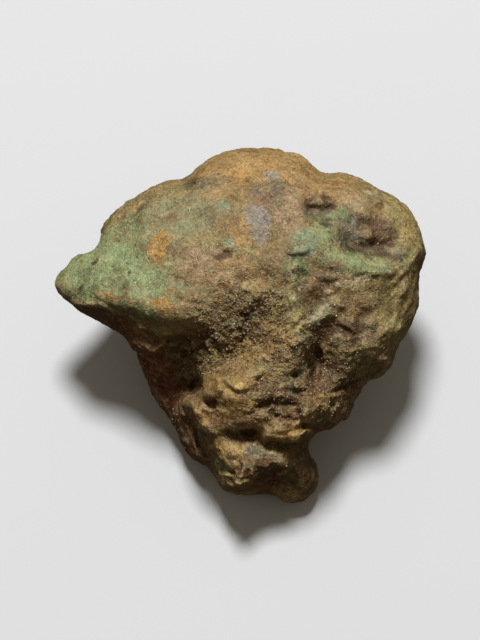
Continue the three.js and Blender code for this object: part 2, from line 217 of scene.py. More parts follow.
# Broken edges: the rock is higher to the left of each path. Height, reach to both sides, points
STEPS = {
    "lower edge of the ledge": (0.2, 1.0, [
        (-16.2, 1.5), (-14.2, 0.4), (-11.6, 0.1), (-9.4, -0.8), (-7.2, -1.3), (-4.8, -1.2), (-3.0, -0.6)]),
    "edge of the ledge": (0.35, 0.9, [
        (-17.2, 3.7), (-15.8, 2.5), (-14.2, 2.1), (-11.6, 2.0), (-10.0, 1.1), (-8.1, 0.2), (-5.8, 0.0),
        (-3.9, 0.3), (-2.2, 0.6)]),
    "crumbled edge in the middle": (0.2, 0.9, [(-1.2, 1.2), (0.2, 1.5), (1.3, 2.2), (2.2, 2.5), (3.0, 1.8)]),
    "brow over the dark pocket": (0.28, 0.7, [
        (5.9, 10.1), (6.1, 11.1), (7.0, 11.8), (8.0, 11.7), (8.7, 11.0)]),
    "facet beside the pocket": (0.3, 0.9, [(6.5, 9.2), (6.3, 10.3), (6.0, 11.6), (5.8, 12.9)]),
    "foot of the green ridge": (0.2, 1.0, [
        (7.8, 6.2), (9.0, 5.5), (10.3, 4.9), (11.6, 4.5), (13.2, 4.6), (14.4, 5.1)]),
    "lip of the teal boss": (0.1, 0.6, [(4.2, 7.4), (4.9, 6.8), (5.8, 6.7), (6.9, 7.2)]),
    "cream step": (0.2, 0.6, [(8.8, 4.2), (10.0, 3.9), (11.0, 3.9)]),
    "edge of the knob": (0.8, 0.9, [
        (-0.6, -3.8), (-2.0, -4.0), (-3.2, -4.3), (-3.8, -5.0), (-3.9, -6.0), (-4.1, -7.0)]),
    "underside of the knob": (0.25, 0.8, [(-2.4, -9.3), (-1.0, -9.7), (0.6, -9.6), (1.8, -9.0)]),
    "edge of the bar": (0.9, 0.6, [
        (1.8, -10.2), (2.3, -10.9), (3.6, -11.1), (5.2, -11.0), (6.6, -10.7), (6.75, -9.6), (6.6, -9.0)]),
    "edge of the plate": (0.5, 0.8, [(5.8, -8.5), (6.8, -8.6), (7.7, -8.2), (8.4, -7.3), (8.6, -6.3)]),
    "top of the foot": (0.5, 0.8, [(5.4, -11.8), (3.4, -11.8), (1.6, -10.9), (0.0, -10.8), (-1.8, -10.7)]),
    "underside of the tan ridge": (0.6, 0.6, [
        (1.0, -13.4), (2.2, -13.5), (3.5, -13.3), (4.6, -13.0), (4.9, -12.4)]),
    "underside of the lumps": (0.7, 0.7, [(-2.9, -14.3), (-1.6, -15.0), (0.2, -15.2), (1.3, -14.9)]),
    "edge of the slab": (0.3, 0.8, [(-3.3, -13.0), (-4.2, -11.2), (-4.8, -9.8), (-5.7, -8.2)]),
    "lip of the low crack": (0.5, 0.8, [(8.0, -6.5), (9.1, -6.1), (10.1, -5.7), (11.2, -5.3)]),
    "edge of the pale streak": (0.2, 0.8, [(6.3, -1.1), (7.3, -0.3), (8.3, 0.5), (9.2, 1.1), (10.4, 1.4)]),
    "bank beside the knob": (0.5, 1.2, [(6.1, -5.6), (6.2, -4.0), (6.4, -2.4), (6.9, -0.9)]),
    "fold on the shoulder": (0.3, 0.7, [(-11.9, 12.0), (-12.0, 10.4), (-12.7, 9.2), (-13.5, 7.8)]),
    "seam in the middle": (0.25, 0.8, [(-3.4, 8.2), (-2.0, 7.3), (-0.6, 6.9), (0.8, 7.0)]),
    "ribs on the right": (0.15, 0.8, [(8.2, -3.4), (9.6, -3.6), (11.2, -2.9), (12.6, -2.6)]),
}

# Notches in the outline, as upright cylinders that the stone is pushed out of: middle x and y, radius
NOTCHES = [(8.0, -11.5, 1.58), (-15.1, 8.6, 1.75), (12.9, -6.4, 1.4)]

# Places where the outline is drawn out or in: middle x and y, radius, shift in x and y
PULLS = [
    (-17.4, 3.9, 2.2, -0.36, -0.05), (5.0, -16.3, 2.0, 0.0, -0.25), (-4.4, -12.3, 2.0, -0.22, -0.2),
    (-11.2, 11.7, 3.2, 0.14, -0.24), (-4.9, 14.6, 2.4, 0.1, -0.26), (15.1, 12.0, 2.2, -0.12, -0.16),
    (-5.6, -11.4, 1.5, -0.12, -0.1), (16.9, 3.8, 3.2, -0.24, 0.0), (14.9, -2.2, 2.6, -0.15, 0.05),
    (7.2, -13.3, 1.8, -0.2, 0.0), (-11.6, -0.7, 2.0, 0.13, 0.24), (-1.2, -15.6, 1.7, -0.03, -0.24),
    (7.9, 14.7, 2.0, -0.05, -0.15)
]

WELD = 0.01            # corners of the solid that lie closer than this are one
WARP_SIZE = 1.7        # from one wobble of a hollow's or a mineral's rim to the next
WARP_REACH = 0.42
STAIN_REACH = 0.5      # how far a mineral's rim wobbles
EDGE_WIDTH = 0.3       # how far a broken edge takes to drop
COARSE_SIZE = 3.4      # from one low swell of the rock to the next
COARSE_HEIGHT = 0.22
PATCH_SIZE = 4.5       # from one patch of a mineral to the next on the unseen side
VOXEL = 0.15           # side of the even squares that the shaped stone is meshed in
REST_BAND = 0.05, 0.7  # the relief starts between these heights above the surface that the stone lies on
MOST_TRIANGLES = 190_000


def to_face(metres):
    return (metres / MM - FACE_ORIGIN) @ FACE_TO_ROW


def to_row(millimetres):
    return (millimetres @ FACE_TO_ROW.T + FACE_ORIGIN) * MM


def read_vectors(items, name):
    flat = np.empty(len(items) * 3)
    items.foreach_get(name, flat)
    return flat.reshape(-1, 3)


def write_points(mesh, points):
    mesh.vertices.foreach_set("co", np.ascontiguousarray(points, dtype=np.float32).ravel())
    mesh.update()


def ease(value, start, end):
    """0 up to start, 1 from end, and a smooth rise between them."""
    t = np.clip((value - start) / (end - start), 0, 1)
    return t * t * (3 - 2 * t)


def swell(points, size, octaves=1, shift=0.0):
    """Smooth noise of about -1 to 1, with lumps of that size in millimetres."""
    softness, next_octave, start = 0.9, 2.1, Vector((shift, 0, 0))
    return np.array([noise.fractal(Vector(p) / size + start, softness, next_octave, octaves) for p in points])


def oval(x, y, middle_x, middle_y, half_length, half_width, turn):
    """How far out each point lies in an oval: 0 in its middle, 1 on its rim."""
    cosine, sine = math.cos(math.radians(turn)), math.sin(math.radians(turn))
    along = cosine * (x - middle_x) + sine * (y - middle_y)
    across = cosine * (y - middle_y) - sine * (x - middle_x)
    return np.hypot(along / half_length, across / half_width)


def off_line(x, y, start, end):
    """Each point's distance from a straight line, and how far along it that is, from 0 to 1."""
    (ax, ay), (bx, by) = start, end
    length = (bx - ax) ** 2 + (by - ay) ** 2
    along = np.clip(((x - ax) * (bx - ax) + (y - ay) * (by - ay)) / length, 0, 1)
    return np.hypot(x - ax - along * (bx - ax), y - ay - along * (by - ay)), along


def off_path(x, y, path):
    """Each point's distance from a broken line."""
    return np.min([off_line(x, y, start, end)[0] for start, end in zip(path, path[1:])], axis=0)


def side_of_path(x, y, path):
    """Each point's distance from a path, positive to its left, and a taper that ends at the path's ends."""
    nearest, side, reached = np.full(len(x), np.inf), np.zeros(len(x)), np.zeros(len(x))
    for step, ((ax, ay), (bx, by)) in enumerate(zip(path, path[1:])):
        off, along = off_line(x, y, (ax, ay), (bx, by))
        closer = off < nearest
        nearest[closer] = off[closer]
        side[closer] = np.sign((bx - ax) * (y - ay) - (by - ay) * (x - ax))[closer]
        reached[closer] = (step + along[closer]) / (len(path) - 1)
    return nearest * side, ease(reached, 0, 0.2) * ease(1 - reached, 0, 0.2)


def put_in_scene(name, data):
    thing = bpy.data.objects.new(name, data)
    bpy.context.scene.collection.objects.link(thing)
    return thing


def coat(mesh, material):
    """That material, and no other, on the whole mesh."""
    mesh.materials.clear()
    mesh.materials.append(material)
    mesh.polygons.foreach_set("material_index", np.zeros(len(mesh.polygons), dtype=np.int32))


def evaluated_copy(thing):
    """The thing's mesh with its modifiers applied, and the modifiers gone."""
    graph = bpy.context.evaluated_depsgraph_get()
    made = bpy.data.meshes.new_from_object(thing.evaluated_get(graph))
    thing.modifiers.clear()
    thing.data = made
    return made


rock = bpy.data.materials.new("turquoise_rock")
stone_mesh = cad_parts["turquoise_nugget"].data.copy()
stone_mesh.materials.clear()
welder = bmesh.new()
welder.from_mesh(stone_mesh)
bmesh.ops.remove_doubles(welder, verts=welder.verts, dist=WELD * MM)
welder.to_mesh(stone_mesh)
welder.free()
write_points(stone_mesh, to_face(read_vectors(stone_mesh.vertices, "co")))
stone = put_in_scene("turquoise_stone", stone_mesh)

# First the shapes of a millimetre and more, on a finely divided copy of the solid
divider = stone.modifiers.new("divide", "SUBSURF")
divider.levels = divider.render_levels = 2
shaped = evaluated_copy(stone)
points = read_vectors(shaped.vertices, "co")
normals = read_vectors(shaped.vertices, "normal")
x = points[:, 0] + WARP_REACH * swell(points, WARP_SIZE, 4)
y = points[:, 1] + WARP_REACH * swell(points, WARP_SIZE, 4, shift=31.4)

relief = np.zeros(len(points))
for *place, height in LUMPS.values():
    relief += height * np.sqrt(np.clip(1 - (oval(x, y, *place) / 1.1) ** 2, 0, 1))
for *place, height, rise_x, rise_y in FACES.values():
    tilted = height + rise_x * (x - place[0]) + rise_y * (y - place[1])
    relief += tilted * (1 - ease(oval(x, y, *place), 0.7, 1.15))
for *place, height in SWELLS.values():
    relief += height * np.exp(-oval(x, y, *place) ** 2)
for width, height, path in RIDGES.values():
    relief += height * (1 - ease(off_path(x, y, path), 0.2 * width, 0.6 * width))
for *place, depth in HOLLOWS.values():
    relief -= depth * (1 - ease(oval(x, y, *place), 0.5, 1.2))
for width, depth, path in CRACKS.values():
    relief -= depth * (1 - ease(off_path(x, y, path), 0.1 * width, 0.65 * width))
for height, reach, path in STEPS.values():
    off, taper = side_of_path(x, y, path)
    relief += 0.5 * height * taper * np.tanh(off / EDGE_WIDTH) * np.exp(-np.abs(off) / reach)

facing = ease(normals[:, 2], -0.1, 0.25)
grip = ease(to_row(points)[:, 2] / MM, *REST_BAND)
points[:, 2] += relief * facing * grip
points += normals * (COARSE_HEIGHT * swell(points, COARSE_SIZE, 3, shift=7.7) * grip)[:, None]
for middle_x, middle_y, radius in NOTCHES:
    out = points[:, :2] - (middle_x, middle_y)
    reach = np.hypot(*out.T)[:, None]
    points[:, :2] += out * np.maximum(0, radius / reach - 1)
for middle_x, middle_y, radius, shift_x, shift_y in PULLS:
    hold = 1 - ease(np.hypot(points[:, 0] - middle_x, points[:, 1] - middle_y), 0, radius)
    points[:, 0] += hold * shift_x
    points[:, 1] += hold * shift_y
write_points(shaped, points)


class Wire:
    """A socket of a node tree that can be added up and multiplied as a number is."""

    def __init__(self, tree, socket=None):
        self.tree = tree
        self.socket = socket

    def node(self, kind, settings=None, values=None, out=0):
        """One output of a new node: its settings are set first, then the values or wires of its sockets."""
        made = self.tree.nodes.new(kind)
        for name, value in (settings or {}).items():
            setattr(made, name, value)
        for name, value in (values or {}).items():
            if isinstance(value, Wire):
                value.into(made.inputs[name])
            else:
                made.inputs[name].default_value = value
        return Wire(self.tree, made.outputs[out])

    def into(self, socket):
        self.tree.links.new(self.socket, socket)

    def math(self, operation, *terms, clamp=False):
        settings = {"operation": operation, "use_clamp": clamp}
        return self.node("ShaderNodeMath", settings, dict(enumerate(terms)))

    def __add__(self, other):
        return self.math("ADD", self, other)

    def __radd__(self, other):
        return self.math("ADD", other, self)

    def __sub__(self, other):
        return self.math("SUBTRACT", self, other)

    def __rsub__(self, other):
        return self.math("SUBTRACT", other, self)

    def __mul__(self, other):
        return self.math("MULTIPLY", self, other)

    def __rmul__(self, other):
        return self.math("MULTIPLY", other, self)

    def __abs__(self):
        return self.math("ABSOLUTE", self)

    def clamped(self):
        return self.math("ADD", self, 0.0, clamp=True)

    def between(self, low, high):
        """0 up to low, 1 from high, and a smooth rise between them."""
        return self.node("ShaderNodeMapRange", {"interpolation_type": "SMOOTHSTEP"},
                         {"Value": self, "From Min": low, "From Max": high})

    def vector(self, operation, *terms, out=0):
        return self.node("ShaderNodeVectorMath", {"operation": operation}, dict(enumerate(terms)), out)

    def noise(self, size, octaves=3, roughness=0.55):
        """Noise round 0, mostly from -1 to 1, with lumps of that size about this place."""
        found = self.node("ShaderNodeTexNoise", {}, {
            "Vector": self, "Scale": 1 / size, "Detail": octaves - 1, "Roughness": roughness})
        return (found - 0.5) * 4

    def cells(self, size, output="Distance", feature="F1"):
        """Pebbles packed side by side: how far this place is from the middle of its pebble."""
        settings, values = {"feature": feature}, {"Vector": self, "Scale": 1 / size}
        return self.node("ShaderNodeTexVoronoi", settings, values, output)

    def wobbled(self, size, reach):
        """This place, pushed about by noise so that no pattern on it looks ruled."""
        values = {"Vector": self, "Scale": 1 / size, "Detail": 1.0}
        push = self.node("ShaderNodeTexNoise", {}, values, "Color")
        return self.vector("MULTIPLY_ADD", push, (2 * reach,) * 3, self)

    def moved(self, x, y, z):
        return self.vector("ADD", self, (x, y, z))

    def scaled(self, factor):
        """This vector made longer, or this colour made brighter."""
        return self.node("ShaderNodeVectorMath", {"operation": "SCALE"}, {0: self, "Scale": factor})


def named(wire, name):
    return wire.node("GeometryNodeInputNamedAttribute", {"data_type": "FLOAT"}, {"Name": name})


def store(mesh, name, values):
    layer = mesh.attributes.get(name) or mesh.attributes.new(name, "FLOAT", "POINT")
    layer.data.foreach_set("value", np.ascontiguousarray(values, dtype=np.float32))


def new_tree(name, *labels, kind="NodeSocketFloat"):
    """A geometry tree, a wire from each of its inputs, and the keys that a modifier sets them by."""
    tree = bpy.data.node_groups.new(name, "GeometryNodeTree")
    tree.interface.new_socket("Geometry", in_out="INPUT", socket_type="NodeSocketGeometry")
    tree.interface.new_socket("Geometry", in_out="OUTPUT", socket_type="NodeSocketGeometry")
    keys = {}
    for label in labels:
        keys[label] = tree.interface.new_socket(label, in_out="INPUT", socket_type=kind).identifier
    entry = tree.nodes.new("NodeGroupInput")
    ports = {socket.name: Wire(tree, socket) for socket in entry.outputs if socket.name}
    return tree, ports, keys


def finish_tree(tree, geometry, material):
    real = geometry.node("GeometryNodeRealizeInstances", {}, {"Geometry": geometry})
    coated = real.node("GeometryNodeSetMaterial", {}, {"Geometry": real, "Material": material})
    leave = tree.nodes.new("NodeGroupOutput")
    coated.into(leave.inputs[0])


def run_tree(thing, tree, keys, **values):
    modifier = thing.modifiers.new(tree.name, "NODES")
    modifier.node_group = tree
    for label, value in values.items():
        modifier[keys[label]] = value
    return evaluated_copy(thing)


# How rough the rock is: middle x and y, half length, half width, turn in degrees, roughness from 0 to 1
ROUGHNESS = [
    (-12.5, 5.0, 5.5, 3.4, -12, 0.08), (-7.0, 7.0, 4.0, 4.5, 0, 0.16), (-4.0, 12.0, 4.0, 3.0, 30, 0.22),
    (-10.0, 10.8, 3.0, 1.8, 20, 0.4), (3.0, 14.5, 7.0, 2.5, 0, 0.22), (11.5, 12.5, 4.0, 2.5, -35, 0.25),
    (15.5, 8.5, 1.5, 4.0, 0, 0.3), (0.5, 9.0, 3.5, 3.0, 0, 0.35), (5.5, 8.2, 1.6, 1.6, 0, 0.3),
    (10.5, 6.3, 4.0, 1.2, -15, 0.35), (0.0, 4.5, 3.0, 2.0, 0, 0.5), (0.8, 0.0, 4.0, 3.5, -20, 1.0),
    (-3.0, -2.5, 3.0, 1.6, 0, 1.0), (5.0, 2.8, 1.0, 3.0, 0, 0.3), (8.5, 3.5, 2.5, 2.0, 0, 0.35),
    (13.0, 2.0, 3.2, 3.4, 0, 0.2), (10.5, -2.5, 4.0, 2.5, 20, 0.5), (14.5, -1.5, 1.5, 3.5, -20, 0.15),
    (2.5, -3.5, 4.0, 2.0, 0, 0.6), (-1.5, -6.5, 2.5, 2.0, 0, 0.28), (4.0, -7.0, 3.5, 2.0, 0, 0.6),
    (9.0, -7.0, 2.0, 2.0, 0, 0.6), (4.4, -9.9, 2.6, 1.2, 0, 0.05), (0.0, -12.0, 4.0, 2.5, 0, 0.3),
    (6.0, -14.0, 1.8, 3.0, 0, 0.25), (-8.5, -6.0, 3.0, 9.0, 25, 0.35), (-9.5, 0.3, 6.0, 1.6, -15, 0.2),
    (-13.5, 1.2, 3.0, 1.2, -15, 0.05)
]
BACK_ROUGHNESS = 0.45


def roughness_at(x, y, facing):
    """The zones' roughness, each one fading out into its neighbours."""
    total, weights = np.zeros(len(x)), np.full(len(x), 1e-6)
    for *place, value in ROUGHNESS:
        weight = np.exp(-1.6 * oval(x, y, *place) ** 2)
        total += weight * value
        weights += weight
    return total / weights * facing + BACK_ROUGHNESS * (1 - facing)


def random_vector(wire, least, most, seed):
    """Three random numbers for each point."""
    return wire.node("FunctionNodeRandomValue", {"data_type": "FLOAT_VECTOR"},
                     {0: (least,) * 3, 1: (most,) * 3, "Seed": seed})


def random_number(wire, least, most, seed):
    return wire.node("FunctionNodeRandomValue", {"data_type": "FLOAT"}, {2: least, 3: most, "Seed": seed}, 1)


def strewn_points(surface, density, seed):
    """Points at random on a surface, so many to each unit of its area."""
    return surface.node("GeometryNodeDistributePointsOnFaces", {"distribute_method": "RANDOM"},
                        {"Mesh": surface, "Density": density, "Seed": seed})


def bits_at(points, size, seed):
    """A bit of rock with twenty faces on each point, turned at random."""
    bit = points.node("GeometryNodeMeshIcoSphere", {}, {"Radius": 1.0, "Subdivisions": 1})
    once_round = 6.3
    turns = random_vector(points, 0, once_round, seed)
    return points.node("GeometryNodeInstanceOnPoints", {},
                       {"Points": points, "Instance": bit, "Rotation": turns, "Scale": size})


# Broken bits of rock, from a fifth to half a millimetre across, grown together with the rough zones
store(shaped, "bits", ease(roughness_at(points[:, 0], points[:, 1], facing) * grip, 0.45, 1.0))
tree, ports, keys = new_tree("broken bits", "Density", "Smallest", "Largest")
begin = ports["Geometry"]
seeds = strewn_points(begin, named(begin, "bits") * ports["Density"], seed=5)
size = random_number(begin, ports["Smallest"], ports["Largest"], seed=8)
bits = bits_at(seeds, random_vector(begin, 0.6, 1.4, seed=7).scaled(size), seed=6)
both = begin.node("GeometryNodeJoinGeometry")
for geometry in (bits, begin):
    geometry.into(both.socket.node.inputs[0])
finish_tree(tree, both, rock)
run_tree(stone, tree, keys, Density=2.0, Smallest=0.1, Largest=0.26)

# The same shape in even squares, and then the marks of weathering, as small as a grain of sand
mesher = stone.modifiers.new("mesh evenly", "REMESH")
mesher.mode = "VOXEL"
mesher.voxel_size = VOXEL
mesher.use_smooth_shade = True
even = evaluated_copy(stone)
points = read_vectors(even.vertices, "co")
facing = ease(read_vectors(even.vertices, "normal")[:, 2], -0.5, 0.3)
store(even, "rough", roughness_at(points[:, 0], points[:, 1], facing))
store(even, "grip", ease(to_row(points)[:, 2] / MM, *REST_BAND))

tree, ports, keys = new_tree("weathering", "Lumps", "Dimples", "Chips", "Pebbles", "Sand")
begin = ports["Geometry"]
place = begin.node("GeometryNodeInputPosition")
rough = named(begin, "rough")
lumps = place.noise(2.6, 4) * (0.2 + 0.8 * rough) * ports["Lumps"]
dimples = place.moved(0, 6, 0).noise(1.1, 4, 0.6) * (0.1 + 1.3 * rough).clamped() * ports["Dimples"]
chips = (0.35 - abs(place.moved(5, 0, 0).noise(1.5, 3))) * rough * ports["Chips"]
pebbles = (0.45 - place.cells(0.95)) * rough * ports["Pebbles"]
sand = (0.45 - place.cells(0.4)) * (0.12 + 0.88 * rough) * ports["Sand"]
height = (lumps + dimples + chips + pebbles + sand) * named(begin, "grip")
normal = begin.node("GeometryNodeInputNormal")
moved = begin.node("GeometryNodeSetPosition", {}, {"Geometry": begin, "Offset": normal.scaled(height)})
finish_tree(tree, moved, rock)
weathered = run_tree(stone, tree, keys, Lumps=0.18, Dimples=0.2, Chips=0.2, Pebbles=0.1, Sand=0.16)

thinner = stone.modifiers.new("thin out", "DECIMATE")
thinner.ratio = MOST_TRIANGLES / (2 * len(weathered.polygons))
finished = evaluated_copy(stone)

